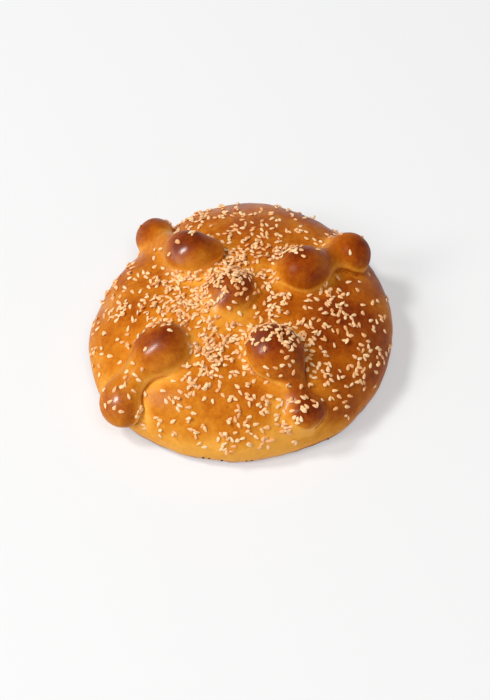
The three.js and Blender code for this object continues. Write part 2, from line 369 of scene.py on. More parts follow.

# %% [markdown]
# ## Seams and creases
# Where a laid-on piece meets the bun, the dough either runs together softly or stays a sharp
# crease. On this bread the creases face the front and the right. A share from 0 to 1 tells which
# of the two a place is, so that later rules can ask for it: how soft the join is, how deep the
# groove, and how dark the line of painted shade along it.

# %% Seams and creases
KNUCKLE_SOFTNESS = 5.0
CREASE_SIDE = np.array([0.8, -0.6])  # the way the creases face, seen from above
CREASE_EDGE = (-0.2, 0.6)  # where a crease begins and is full, in neck radii off the middle line
CREASE_START = {"bone_front_left": 0.25}  # as a share of the way out, on bones that crease late
START_BLUR = 0.2
MORE_CREASES = {"bone_front_right": [(7, -50, 10, 1.0)]}  # x, y, spread and share of a crease
BALL_CREASE_SIDE = np.array([1.0, 0.1])
BALL_CREASE_EDGE = (-0.2, 0.8)  # in ball radii off its middle
BALL_CREASING = 0.4  # the ball ran together with the bun nearly all round

def smoothstep(low, high, value):
    share = np.clip((value - low) / (high - low), 0, 1)
    return share * share * (3 - 2 * share)

def smooth_union(first, second, softness):
    share = np.clip(0.5 + 0.5 * (first - second) / softness, 0, 1)
    return first + (second - first) * share - softness * share * (1 - share)

def sum_of_spots(spots, points):
    """Round spots with soft edges, seen from above."""
    total = np.zeros(len(points))
    for x, y, spread, more in spots:
        total += more * np.exp(-((points[:, :2] - [x, y]) ** 2).sum(axis=1) / spread**2)
    return total

def crease_share(name, points):
    """0 on the side of a bone where the dough ran together, 1 where it creased."""
    start, _, end = BONES[name]["spine"][:, :2]
    along = (end - start) / np.sum((end - start) ** 2)
    across = unit(np.array([-along[1], along[0]]))
    across = across * np.sign(across @ CREASE_SIDE)
    place = points[:, :2] - start
    creased = smoothstep(*CREASE_EDGE, place @ across / BONES[name]["radius"][1])
    if name in CREASE_START:
        begin = CREASE_START[name]
        creased *= smoothstep(begin - START_BLUR, begin + START_BLUR, place @ along)
    return np.maximum(creased, sum_of_spots(MORE_CREASES.get(name, []), points))

def laid_on_pieces(points):
    """Name, distance and crease share of the bones and the ball."""
    for name, bone in BONES.items():
        distance = bone_distance(bone, points)
        if name == "bone_back_left":
            distance = smooth_union(distance, knuckle_distance(points), KNUCKLE_SOFTNESS)
        yield name, distance, crease_share(name, points)
    aside = (points[:, :2] - BALL_CENTRE[:2]) @ BALL_CREASE_SIDE / BALL_RADIUS
    yield "ball", ball_distance(points), BALL_CREASING * smoothstep(*BALL_CREASE_EDGE, aside)

for name, _, creased in laid_on_pieces(crown):
    print(name, "is creased by", round(float(creased[0]), 2), "on the side towards the crown")

# %% [markdown]
# ## Uneven dough
# Shaped by hand, dough swells and ripples everywhere. Without that, the bun would look turned on
# a lathe. A sum of plane waves in random directions gives slow swells and a fine ripple, smooth
# at every point, where a noise texture could only be read by the renderer.

# %% Uneven dough
DOUGH_SWELL = (38.0, 0.4)  # wavelength and height
SKIN_RIPPLE = (9.0, 0.06)
WAVE_COUNT = 9
WAVE_SPREAD = (0.7, 1.3)  # closeness of single waves, as shares of the wavelength's own
RAGGED_EDGE = (6.0, 0.12)  # height above the base that it reaches, and how ragged it is

def make_waves(wavelength, count, draw):
    """A smooth uneven function of place, made of plane waves in all directions."""
    directions = unit(draw.normal(size=(count, 3))) * (2 * math.pi / wavelength)
    directions *= draw.uniform(*WAVE_SPREAD, (count, 1))
    phases = draw.uniform(0, 2 * math.pi, count)
    def waves(points):
        total = np.zeros(len(points))
        for direction, phase in zip(directions, phases):
            total += np.cos(points @ direction + phase)
        return total * math.sqrt(2 / count)
    return waves

dough_draw = np.random.default_rng(1102)
dough_swell = make_waves(DOUGH_SWELL[0], WAVE_COUNT, dough_draw)
skin_ripple = make_waves(SKIN_RIPPLE[0], WAVE_COUNT, dough_draw)

def unevenness(points):
    reach, ragged = RAGGED_EDGE
    ripple = SKIN_RIPPLE[1] + ragged * (1 - smoothstep(0, reach, points[:, 2]))
    return DOUGH_SWELL[1] * dough_swell(points) + ripple * skin_ripple(points)

print("at the crown the dough is uneven by", round(float(unevenness(crown)[0]), 2), "mm")

# %% [markdown]
# ## Baking the pieces together
# In the oven the pieces swell against each other and press a hollow into the bun. A smooth union
# joins them: its softness is wide where the dough ran together, and narrow at the creases, which
# get a groove as well. A boolean union would leave the same hard edge all round. Two spots where
# the seam melted away are softened further.

# %% The baked bread's field
PRESS_DEPTH = 1.0
PRESS_REACH = 9.0
SEAM_SOFTNESS = {  # on the run-together side, and on the crease's side
    "bone_back_right": (9.0, 4.0),
    "bone_back_left": (4.0, 3.0),
    "bone_front_left": (4.5, 0.9),
    "bone_front_right": (4.0, 1.3),
    "ball": (9.0, 3.5),
}
SOFTER_SEAMS = {  # x, y, spread and softness to add
    "bone_front_right": [(30, -65, 12, 6.0)],
    "bone_back_left": [(-40, 13, 9, 5.0)],
}
GROOVE_DEPTH = 0.8
GROOVE_WIDTH = 0.9

def pressed_bun(points, pieces):
    """Distance to the bun, with the hollow that the laid-on pieces press into it."""
    untouched = np.ones(len(points))
    for _, distance, _ in pieces:
        untouched *= 1 - np.exp(-((np.maximum(distance, 0) / PRESS_REACH) ** 2))
    return bun_distance(points) + PRESS_DEPTH * (1 - untouched)

def bread_distance(points):
    pieces = list(laid_on_pieces(points))
    bun = pressed_bun(points, pieces)
    whole = bun
    groove = np.zeros(len(points))
    for name, distance, creased in pieces:
        soft, sharp = SEAM_SOFTNESS[name]
        softness = soft + (sharp - soft) * creased
        softness = softness + sum_of_spots(SOFTER_SEAMS.get(name, []), points)
        whole = smooth_union(whole, distance, softness)
        seam = np.exp(-(distance**2 + bun**2) / GROOVE_WIDTH**2)
        groove = np.maximum(groove, creased * seam)
    return np.maximum(whole + GROOVE_DEPTH * groove + unevenness(points), -points[:, 2])

for name in ("bun", *BONES):
    print(name, "in the solids:", [(1000 * corner).to_tuple(1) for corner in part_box(name)])

# %% [markdown]
# ## From field to mesh
# A surface net turns the field into even quads: the field is sampled on a grid, every cell that
# the skin passes through gets one vertex, and neighbours are joined. Marching cubes would leave
# slivers, and a voxel remesh would round the creases off. First come the vertices.

# %% Cells of the net
NET_STEP = 0.9
CORNERS = [np.array([i, j, k]) for i in (0, 1) for j in (0, 1) for k in (0, 1)]
AXES = np.eye(3, dtype=int)

def sample_grid(field, low, counts):
    """The field's values on a grid, one sheet of it at a time."""
    values = np.empty(counts)
    axes = [low[i] + NET_STEP * np.arange(counts[i]) for i in range(3)]
    y, z = np.meshgrid(axes[1], axes[2], indexing="ij")
    for i, x in enumerate(axes[0]):
        sheet = np.stack([np.full(y.size, x), y.ravel(), z.ravel()], axis=1)
        values[i] = field(sheet).reshape(y.shape)
    return values

def at_corner(grid, corner):
    """The grid's values at one corner of every cell."""
    ends = np.array(grid.shape) - 1 + corner
    return grid[corner[0]:ends[0], corner[1]:ends[1], corner[2]:ends[2]]

def net_vertices(values, crossed):
    """The middle of the points where the skin cuts each crossed cell's edges, in cells."""
    cells = np.argwhere(crossed)
    total = np.zeros((len(cells), 3))
    cuts = np.zeros(len(cells))
    for corner in CORNERS:
        for axis in range(3):
            if corner[axis]:
                continue
            first = at_corner(values, corner)[crossed]
            second = at_corner(values, corner + AXES[axis])[crossed]
            cut = (first < 0) != (second < 0)
            share = first[cut] / (first[cut] - second[cut])
            total[cut] += cells[cut] + corner + share[:, None] * AXES[axis]
            cuts[cut] += 1
    return total / cuts[:, None]

print("the net's cells are", NET_STEP, "mm wide")

# %% [markdown]
# ## Joining the net
# Every grid edge that the skin cuts has four cells round it, and their vertices make one quad.
# Each vertex is then slid along the field's slope until it lies on the skin, which takes out the
# steps of the grid.

# %% Surface net
NET_MARGIN = 3.0
SETTLING_ROUNDS = 4

def net_quads(inside, number):
    """Joins the four cells round every grid edge that the skin cuts, facing outwards."""
    quads = []
    for axis in range(3):
        u, v = AXES[[(axis + 1) % 3, (axis + 2) % 3]]
        step = AXES[axis]
        ends = np.array(inside.shape) - step
        first = inside[:ends[0], :ends[1], :ends[2]]
        second = inside[step[0]:, step[1]:, step[2]:]
        for outward, cut in ((True, first & ~second), (False, second & ~first)):
            place = np.argwhere(cut)
            ring = [place - u - v, place - v, place, place - u]
            quad = np.stack([number[tuple(cell.T)] for cell in ring], axis=1)
            quads.append(quad if outward else quad[:, ::-1])
    return np.concatenate(quads)

def net_of(field, low, high):
    counts = np.ceil((high - low) / NET_STEP).astype(int) + 1
    values = sample_grid(field, low, counts)
    inside = values < 0
    filled = sum(at_corner(inside, corner).astype(int) for corner in CORNERS)
    crossed = (filled > 0) & (filled < len(CORNERS))
    number = np.full(crossed.shape, -1)
    number[crossed] = np.arange(crossed.sum())
    vertices = low + NET_STEP * net_vertices(values, crossed)
    return vertices, net_quads(inside, number)

def settle(field, vertices):
    """Slides vertices along the field's slope on to the skin."""
    for _ in range(SETTLING_ROUNDS):
        slope = slope_of(field, vertices)
        move = -(field(vertices) / (slope**2).sum(axis=1))[:, None] * slope
        vertices = vertices + np.clip(move, -NET_STEP / 2, NET_STEP / 2)
    return vertices

net_low, net_high = [np.array(corner) / MM for corner in solid_box]
bread_vertices, bread_quads = net_of(bread_distance, net_low - NET_MARGIN, net_high + NET_MARGIN)
bread_vertices = settle(bread_distance, bread_vertices)
bread_normals = unit(slope_of(bread_distance, bread_vertices))
print("bread:", len(bread_vertices), "vertices,", 2 * len(bread_quads), "triangles")

# %% [markdown]
# ## Browned knobs, pale seams and painted shade in the creases
# An oven browns what stands high and leaves the hollows beside the bones pale. Painting that by
# hand or by image would need coordinates on the skin. A rule needs none, and it fits any change
# of the dough. These rules give every knob a browned cap, every seam a paler strip, and every
# crease a thin dark line of painted shade. Browning is a number from 0, pale, to 1, dark, and the
# painted shade is added into it. The amounts began as a least-squares fit of the rules to the
# picture, and nearly all were then changed.

# %% Browned knobs, pale seams and painted shade in the creases
CAP_REACH = 0.9  # of a knob's browned cap, as a share of the knob's radius
CAP_BROWNING = {  # the inner and outer knob of each bone, and the ball
    "bone_back_right": (0.36, 0.12),
    "bone_back_left": (0.55, 0.27),
    "bone_front_left": (0.58, 0.26),
    "bone_front_right": (0.50, 0.30),
    "ball": (0.40,),
}
SEAM_REACH = 5.0
SEAM_HEIGHTS = (1.5, 6.0)  # above the bun's skin, where the pale strip ends softly
SEAM_PALING = {  # on the side where the dough ran together, and where it creased
    "bone_back_right": (0.30, 0.28),
    "bone_back_left": (0.20, 0.17),
    "bone_front_left": (0.14, 0.38),
    "bone_front_right": (0.34, 0.10),
    "ball": (0.38, 0.38),
}
# painted shade: how dark the thin line along the creases is, and how wide
CREASE_PAINTED_SHADE = 0.65
CREASE_SHADE_WIDTH = 1.0

def knob_tops():
    """Place, radius and browning of the top of every knob."""
    for name, bone in BONES.items():
        for end, browning_here in zip((0, 2), CAP_BROWNING[name]):
            yield bone["spine"][end], bone["radius"][end], browning_here
    yield BALL_CENTRE, BALL_RADIUS, CAP_BROWNING["ball"][0]

def cap_browning(points):
    total = np.zeros(len(points))
    for centre, radius, browning_here in knob_tops():
        outward = unit(slope_of(bun_distance, centre[None]))[0]
        top = centre + radius * unit(outward + [0, 0, 1])
        gap = np.linalg.norm(points - top, axis=1) / (CAP_REACH * radius)
        total = np.maximum(total, browning_here * np.exp(-(gap**2)))
    return total

def seam_paling_and_crease_shade(points, stands_out):
    """Pale strips along the seams, with a dark line of painted shade in the creases."""
    total = np.zeros(len(points))
    beside = 1 - smoothstep(*SEAM_HEIGHTS, stands_out)
    for name, distance, creased in laid_on_pieces(points):
        soft, sharp = SEAM_PALING[name]
        near = beside * np.exp(-((distance / SEAM_REACH) ** 2))
        line = creased * np.exp(-(distance**2 + stands_out**2) / CREASE_SHADE_WIDTH**2)
        total += CREASE_PAINTED_SHADE * line - near * (soft + (sharp - soft) * creased)
    return total

print(len(list(knob_tops())), "browned caps")

# %% [markdown]
# ## Spots of the oven and of painted shade
# No oven heats evenly, and the brush leaves thick and thin egg, so each bread has spots of its
# own. They were set where a render measured paler or browner than the picture, and are kept by
# the part of the bread they are on, as soft round spots seen from above. A few of the darker ones
# are painted shade: in the crease right of the front right bone, under the front left bone's outer
# end, and in hollows beside the knobs. A noise texture would be quicker, but would put them
# anywhere.

# %% Spots of the oven and of painted shade
BAKE_AND_SHADE_SPOTS = {  # x, y, spread and how much browner the bread is there, painted shade included
    "round the ball": [
        (9, 20, 8, -0.42), (-10, -24, 12, -0.08), (0, -18, 7, -0.20), (2, 2, 6, 0.16),
        (-18, -16, 6, -0.18), (10, -5, 5, 0.28), (-18, 17, 4, -0.20), (18, 5, 5, -0.22),
        (-11, -12, 6, 0.18), (3, -9, 5, 0.12), (5, 8, 5, 0.18),
    ],
    "back": [(35, 46, 13, -0.26), (8, 64, 22, -0.07), (20, 48, 7, 0.14)],
    "back right bone": [
        (50, 14, 5, -0.30), (18, 21, 5, 0.28), (39, 11, 7, -0.28), (53, 10, 4, 0.22),
        (37, 2, 7, 0.16), (25, 16, 4, 0.12), (34, 6, 5, -0.18), (70, 37, 7, 0.15),
        (62, 37, 6, -0.12),
    ],
    "right flank": [
        (58, -2, 22, 0.07), (76, 8, 14, -0.28), (48, -18, 13, 0.16), (57, -62, 9, 0.24),
        (66, -50, 10, 0.12), (50, -44, 6, 0.22), (48, -56, 7, -0.18), (71, -36, 7, 0.10),
        (46, -65, 6, 0.10), (37, -25, 8, 0.10), (60, -32, 6, -0.16), (52, -66, 6, 0.18),
        (38, -46, 6, -0.22),
    ],
    "front right bone": [
        # (31, -45) is painted shade: a dark line in the crease right of the neck
        (28, -60, 7, 0.40), (27, -70, 5, 0.35), (18, -63, 5, -0.48), (31, -45, 4, 0.25),
        (26, -56, 3, 0.25), (8, -51, 6, -0.18),
    ],
    "front": [
        (14, -80, 14, -0.22), (18, -72, 6, -0.14), (28, -75, 6, -0.25), (-45, -72, 8, 0.24),
        (-36, -66, 8, -0.16), (15, -76, 9, -0.10), (-14, -76, 9, -0.10), (-5, -56, 6, 0.11),
        (-23, -61, 5, -0.10),
    ],
    "front left bone": [
        # (-59, -65) is painted shade under the bone's outer end
        (-28, -33, 6, -0.42), (-47, -27, 7, -0.25), (-59, -65, 4, 0.25), (-62, -48, 6, 0.09),
    ],
    "left flank": [
        (-28, -8, 14, -0.14), (-64, -22, 14, 0.15), (-57, 12, 8, 0.14), (-73, 22, 8, -0.14),
        (-64, 37, 13, 0.16), (-76, 5, 12, 0.10), (-33, 8, 6, -0.20),
    ],
    "back left bone": [
        (-24, 14, 7, -0.42), (-40, 22, 7, 0.10), (-58, 50, 6, 0.12), (-30, 20, 7, 0.12),
        (-17, 28, 6, 0.18),
    ],
}

def spot_browning_and_shade(points):
    return sum_of_spots(chain.from_iterable(BAKE_AND_SHADE_SPOTS.values()), points)

print({place: len(spots) for place, spots in BAKE_AND_SHADE_SPOTS.items()})

# %% [markdown]
# ## The whole browning, with painted shade
# The rest is true of the whole bread: browner towards the right and the back, partly as painted
# shade on the side away from the lamps, a paler front flank, a paler tuck, a thin dark rim where
# it touched the tray, a browned underside, and a slow unevenness. The first amounts came from the
# same fit as those of the knobs and seams. One number on each vertex holds the sum.

# %% Browning and painted shade
BAKE_TOP = 0.62
BAKE_AND_SHADE_SIDE = np.array([0.185, 0.085, 0]) / BUN_RADIUS  # browner towards the right and the back, partly as painted shade
BAKE_UNEVEN = 0.05
BAKE_PATCH_SIZE = 24.0
BAKE_PATCH_WAVES = 12
BONE_PALING = 0.05
BONE_HEIGHTS = (1.0, 4.0)  # above the bun's skin, from bun to laid-on piece
FRONT_PALING = 0.52
FRONT_STEEPNESS = (0.05, 0.75)  # upward part of the normal, from upright to flat enough to brown
TUCK_PALING = 0.12  # of the flank below the widest ring, all round
TUCK_HEIGHTS = (0.2, 1.1)  # as a share of the widest ring's height
RIM_BROWNING = 0.8  # of the thin edge that touched the tray
RIM_HEIGHTS = (3.0, 6.5)
UNDERSIDE_BAKE = 0.72
UNDERSIDE_FACING = (0.7, 0.95)  # downward part of the normal

bake_patches = make_waves(BAKE_PATCH_SIZE, BAKE_PATCH_WAVES, np.random.default_rng(7))

def browning_with_shade(points, normals):
    stands_out = bun_distance(points)
    laid_on = smoothstep(*BONE_HEIGHTS, stands_out)
    steep = 1 - smoothstep(*FRONT_STEEPNESS, normals[:, 2])
    front = steep * (1 - laid_on) * np.clip(-normals[:, 1], 0, 1)
    tucked = 1 - smoothstep(*TUCK_HEIGHTS, points[:, 2] / WIDEST_HEIGHT)
    baking_and_shade = BAKE_TOP + points @ BAKE_AND_SHADE_SIDE + BAKE_UNEVEN * bake_patches(points)
    baking_and_shade += cap_browning(points) + seam_paling_and_crease_shade(points, stands_out)
    baking_and_shade += spot_browning_and_shade(points)
    baking_and_shade -= BONE_PALING * laid_on + FRONT_PALING * front + TUCK_PALING * tucked
    baking_and_shade += RIM_BROWNING * (1 - smoothstep(*RIM_HEIGHTS, points[:, 2]))
    underside = smoothstep(*UNDERSIDE_FACING, -normals[:, 2])
    return np.clip(baking_and_shade + (UNDERSIDE_BAKE - baking_and_shade) * underside, 0, 1)

bread_baking_and_shade = browning_with_shade(bread_vertices, bread_normals)
print("browning from", bread_baking_and_shade.min().round(2), "to", bread_baking_and_shade.max().round(2))

# %% [markdown]
# ## The bread's mesh
# Nearly a hundred thousand quads are too many to hand over as lists, so the mesh is filled
# straight from the arrays. The browning, with its painted shade, goes along as an attribute on the
# vertices, which materials can read without any unwrapping.

# %% Bread mesh
def mesh_object(name, vertices, faces):
    """A smooth-shaded object from millimetre vertices and faces of one length."""
    mesh = bpy.data.meshes.new(name)
    sides = faces.shape[1]
    mesh.vertices.add(len(vertices))
    mesh.vertices.foreach_set("co", (vertices * MM).astype(np.float32).ravel())
    mesh.loops.add(faces.size)
    mesh.loops.foreach_set("vertex_index", faces.astype(np.int32).ravel())
    mesh.polygons.add(len(faces))
    mesh.polygons.foreach_set("loop_start", np.arange(0, faces.size, sides, dtype=np.int32))
    mesh.polygons.foreach_set("use_smooth", np.ones(len(faces), bool))
    mesh.update(calc_edges=True)
    mesh.validate()
    thing = bpy.data.objects.new(name, mesh)
    bpy.context.scene.collection.objects.link(thing)
    return thing

def set_attribute(thing, name, values):
    attribute = thing.data.attributes.new(name, "FLOAT", "POINT")
    attribute.data.foreach_set("value", values.astype(np.float32))

bread = mesh_object("bread", bread_vertices, bread_quads)
set_attribute(bread, "baking_and_shade", bread_baking_and_shade)
print("bread mesh has", len(bread.data.polygons), "faces")

# %% [markdown]
# ## Egg wash
# Beaten egg is brushed on before baking. Most of it sinks in and dries dull, but it pools on the
# knobs, where it stays glossy, and a thin film of it shows at the back and left rims. One gloss
# all over would look like plastic, so a second attribute holds how much egg lies where. Little of
# it stays on steep skin.

# %% Egg wash
EGG_WASH = 0.06  # share of full gloss, all over
WASH_POOLS = [  # x, y, spread and how much glossier the bread is there
    (-35, 18, 7, 1.0),
    (-11, -6, 6, 1.0),
    (-45, -38, 5, 1.0),
    (-66, -58, 5, 1.0),
    (8, -38, 5, 1.0),
    (24, -62, 5, 0.4),
    (0, 66, 22, 0.35),
    (-64, 40, 12, 0.35),
    (-76, 2, 10, 0.25),
]
WASH_FACING = (0.1, 0.6)  # upward part of the normal, from no egg held to all of it

bread_glaze = np.clip(EGG_WASH + sum_of_spots(WASH_POOLS, bread_vertices), 0, 1)
bread_glaze = bread_glaze * smoothstep(*WASH_FACING, bread_normals[:, 2])
set_attribute(bread, "glaze", bread_glaze)
print("gloss from", bread_glaze.min().round(2), "to", bread_glaze.max().round(2))

# %% [markdown]
# ## Small helpers for the shaders
# Both finishes, crust and sesame, are a number turned into colour, with some noise added so that
# no patch is flat. These helpers add one kind of node each, wire it up and hand back its output.

# %% Shader helpers
def add_attribute(tree, name):
    attribute = tree.nodes.new("ShaderNodeAttribute")
    attribute.attribute_name = name
    return attribute.outputs["Fac"]

def add_noise(tree, scale, detail):
    place = tree.nodes.new("ShaderNodeTexCoord")
    noise = tree.nodes.new("ShaderNodeTexNoise")
    noise.inputs["Scale"].default_value = scale
    noise.inputs["Detail"].default_value = detail
    tree.links.new(place.outputs["Object"], noise.inputs["Vector"])
    return noise.outputs["Fac"]

def add_sum(tree, first, second, weight):
    """First plus weight times second, measured from second's middle value of a half."""
    centred = tree.nodes.new("ShaderNodeMath")
    centred.operation = "MULTIPLY_ADD"
    centred.inputs[1].default_value = weight
    centred.inputs[2].default_value = -weight / 2
    tree.links.new(second, centred.inputs[0])
    total = tree.nodes.new("ShaderNodeMath")
    total.operation = "ADD"
    tree.links.new(first, total.inputs[0])
    tree.links.new(centred.outputs[0], total.inputs[1])
    return total.outputs[0]

def add_bump(tree, height, distance, under=None):
    bump = tree.nodes.new("ShaderNodeBump")
    bump.inputs["Strength"].default_value = 1.0
    bump.inputs["Distance"].default_value = distance
    tree.links.new(height, bump.inputs["Height"])
    if under is not None:
        tree.links.new(under, bump.inputs["Normal"])
    return bump.outputs["Normal"]

print("the crust can read", [name for name in ("baking_and_shade", "glaze") if name in bread.data.attributes])

# %% [markdown]
# ## The crust
# The crust is coloured by the browning number, painted shade of the creases included, from pale
# gold in the seams to dark brown on the knobs, with mottling finer than the mesh. The dried egg is
# a clear coat, as strong as the glaze attribute says, over a dull skin. Low bumps break its shine,
# as the dough's pores do. A little cool sheen stands for the white room that any skin reflects at
# its rims. An image of a real crust would be quicker, but would have to be unwrapped, and would
# carry its own light.

# %% Crust material
CRUST_COLOURS = [  # browning number and linear colour
    (0.00, (0.89, 0.405, 0.058)),
    (0.20, (0.76, 0.31, 0.032)),
    (0.45, (0.588, 0.187, 0.011)),
    (0.65, (0.426, 0.101, 0.004)),
    (0.85, (0.285, 0.049, 0.003)),
    (1.00, (0.18, 0.024, 0.002)),
]
MOTTLES = [(90, 4, 0.50), (330, 3, 0.34), (1100, 2, 0.22)]  # scale, detail and browning they add
SKIN_NOISE = (160, 3)  # scale and detail
SKIN_ROUGHNESS = [(0.3, 0.40), (0.7, 0.52)]  # noise value and roughness
SKIN_BUMPS = (340, 3, 0.32 * MM)  # scale, detail and height
PORES = (1500, 2, 0.08 * MM)
CRUST_FINISH = {
    "Specular IOR Level": 0.03,
    "Coat Roughness": 0.26,
    "Coat IOR": 2.0,
    "Sheen Weight": 0.20,
    "Sheen Roughness": 0.28,
    "Sheen Tint": (0.8, 0.88, 1, 1),
    "Subsurface Weight": 0.08,
    "Subsurface Radius": (1.0, 0.35, 0.1),
    "Subsurface Scale": 1.5 * MM,
}

def crust_material():
    crust, shader = new_material("egg_washed_crust", CRUST_FINISH)
    tree = crust.node_tree
    # the browning number, with the painted shade of the creases and of the right side in it
    browned = add_attribute(tree, "baking_and_shade")
    for scale, detail, weight in MOTTLES:
        browned = add_sum(tree, browned, add_noise(tree, scale, detail), weight)
    tree.links.new(add_ramp(tree, browned, CRUST_COLOURS), shader.inputs["Base Color"])
    roughness = add_ramp(tree, add_noise(tree, *SKIN_NOISE), greys(SKIN_ROUGHNESS))
    tree.links.new(roughness, shader.inputs["Roughness"])
    skin = None
    for scale, detail, height in (SKIN_BUMPS, PORES):
        skin = add_bump(tree, add_noise(tree, scale, detail), height, under=skin)
    tree.links.new(skin, shader.inputs["Normal"])
    tree.links.new(add_attribute(tree, "glaze"), shader.inputs["Coat Weight"])
    return crust

bread.data.materials.append(crust_material())
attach(bread, "root")
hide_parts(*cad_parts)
print("the bread stands for", sorted(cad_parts))

# %% [markdown]
# ## Sesame seeds
# A hulled sesame seed is a flat drop, a little over three millimetres long. One drop is worked out
# from rings, and every seed on the bread is a turned, slightly resized copy, joined into one mesh:
# instances would be lost when the model is exported.

# %% One seed
SEED_LENGTH = 3.4
SEED_WIDTH = 1.9
SEED_THICKNESS = 1.0
SEED_TAPER = 0.42  # how much thinner the pointed half gets, and how much fatter the blunt one
SEED_SIDES = 8
SEED_RINGS = 6

def seed_drop():
    """Vertices and triangles of one seed, lying flat, with its point towards +X."""
    vertices = [(-SEED_LENGTH / 2, 0, 0)]
    for ring in range(1, SEED_RINGS):
        angle = math.pi * ring / SEED_RINGS
        along = -math.cos(angle)
        fat = math.sin(angle) * (1 - SEED_TAPER * along)
        for side in range(SEED_SIDES):
            turn = 2 * math.pi * side / SEED_SIDES
            across = fat * math.cos(turn) * SEED_WIDTH / 2
            up = fat * math.sin(turn) * SEED_THICKNESS / 2
            vertices.append((along * SEED_LENGTH / 2, across, up))
    vertices.append((SEED_LENGTH / 2, 0, 0))
    return np.array(vertices), seed_triangles(len(vertices) - 1)

def seed_triangles(tip):
    triangles = []
    for side in range(SEED_SIDES):
        after = (side + 1) % SEED_SIDES
        triangles.append((0, 1 + after, 1 + side))
        for ring in range(SEED_RINGS - 2):
            here = 1 + ring * SEED_SIDES
            there = here + SEED_SIDES
            triangles.append((here + side, here + after, there + after))
            triangles.append((here + side, there + after, there + side))
        last = 1 + (SEED_RINGS - 2) * SEED_SIDES
        triangles.append((last + side, last + after, tip))
    return np.array(triangles)

drop_vertices, drop_triangles = seed_drop()
print("one seed has", len(drop_triangles), "triangles")

# %% [markdown]
# ## Where the seeds lie
# Seeds are thrown from above. They slide off the knobs and gather in drifts in the hollows beside
# the ball and the bones, and some patches stay bare. An even strewing would be simpler, but the
# drifts are what makes the top look handmade, so they were listed where the real bread has them.

# %% Drifts and bare patches
SEED_BASE = 0.7
SEED_DRIFTS = {  # x, y, spread and how much thicker the seeds lie there
    "beside the ball": [
        (-4, 18, 10, 6), (-14, 4, 9, 6), (-25, 14, 9, 4), (-26, -6, 10, 3), (-23, -10, 8, 4),
        (18, -6, 7, 4), (14, 11, 5, 3), (-1, -24, 5, 3),
    ],
    "left": [
        (-44, 8, 10, 3), (-40, -10, 10, 3.5), (-57, -6, 10, 1.8), (-62, -32, 7, 1.2),
        (-68, 25, 10, 0.8),
    ],
    "between the front bones": [
        (-17, -32, 8, 6), (-20, -45, 9, 5), (-32, -57, 6, 4.5), (-36, -57, 7, 1.5),
        (-8, -36, 10, 1.5), (11, -26, 8, 5), (3, -62, 9, 2.1), (15, -58, 6, 3), (0, -71, 7, 1.5),
    ],
    "front edge": [
        (-20, -79, 6, 4), (-8, -80, 6, 4), (10, -79, 7, 4), (26, -74, 7, 4), (33, -73, 5, 2.5),
        (-55, -63, 4, 6), (-45, -56, 4, 3),
    ],
    "right": [
        (31, -22, 7, 4), (37, -33, 6, 2.5), (45, -6, 9, 2.4), (45, 3, 6, 3.5), (46, -46, 9, 1.8),
        (54, -18, 9, 0.8), (66, -20, 8, 1.2), (64, -40, 8, 0.9),
    ],
    "back": [
        (5, 30, 9, 1.6), (20, 34, 10, 2), (-6, 40, 7, 1.5), (10, 58, 22, 0.8), (-27, 62, 9, 2.6),
    ],
}
KNOB_BASE = 0.1
KNOB_DRIFTS = {  # the same, for the seeds that stayed on the knobs
    "ball": [(-12, 1, 8, 9), (-4, 9, 7, 5)],
    "front right bone": [(9, -29, 7, 5), (22, -34, 8, 4), (17, -54, 6, 2.5), (28, -64, 7, 5)],
    "front left bone": [(-45, -28, 8, 2), (-66, -56, 6, 1.2), (-58, -47, 5, 2)],
    "back left bone": [(-30, 28, 7, 1.4)],
    "back right bone": [(24, 24, 6, 4)],
}
KNOB_HEIGHTS = (2.5, 6.0)  # above the bun's skin, from bun to knob
BARE_PATCHES = [  # x, y and spread
    (-5, -13, 7), (30, 9, 9), (62, 26, 18), (40, 56, 10), (20, -48, 8), (44, -64, 7),
    (-15, -65, 7), (-47, -58, 13), (-38, -46, 8), (-72, -40, 10), (-50, 40, 9), (5, 80, 16),
]
HOLDING_FACING = (-0.05, 0.7)  # upward part of the normal, from no seed held to all of them

def seed_density(points, normals):
    thick = SEED_BASE + sum_of_spots(chain.from_iterable(SEED_DRIFTS.values()), points)
    for x, y, spread in BARE_PATCHES:
        thick *= 1 - sum_of_spots([(x, y, spread, 1)], points)
    on_knob = smoothstep(*KNOB_HEIGHTS, bun_distance(points))
    held = smoothstep(*HOLDING_FACING, normals[:, 2])
    knob_thick = KNOB_BASE + sum_of_spots(chain.from_iterable(KNOB_DRIFTS.values()), points)
    return held * ((1 - on_knob) * thick + on_knob * knob_thick)

quad_corners = bread_vertices[bread_quads]
quad_middles = quad_corners.mean(axis=1)
quad_normals = unit(bread_normals[bread_quads].mean(axis=1))
quad_density = seed_density(quad_middles, quad_normals)
print("seeds lie up to", quad_density.max().round(1), "thick, against", SEED_BASE, "elsewhere")

# %% [markdown]
# ## Throwing the seeds
# Each throw picks a quad of the bread, by its area and by how thick the seeds lie there. A seed
# that lands on others rests on top of them, and tilts more than one that lies on the crust. Where
# too many lie already, it rolls off. Dropping them in a physics simulation would take minutes and
# would not give the drifts.

# %% Thrown seeds
SEED_COUNT = 1390
SEED_TRIES = 80000
SEED_TOUCH = 1.6  # a seed nearer than this lies on the other one
SEED_CLOSEST = 0.7
SEED_LAYERS = 3
SEED_TILT = 0.2
SEED_TILT_ON_OTHERS = 0.42

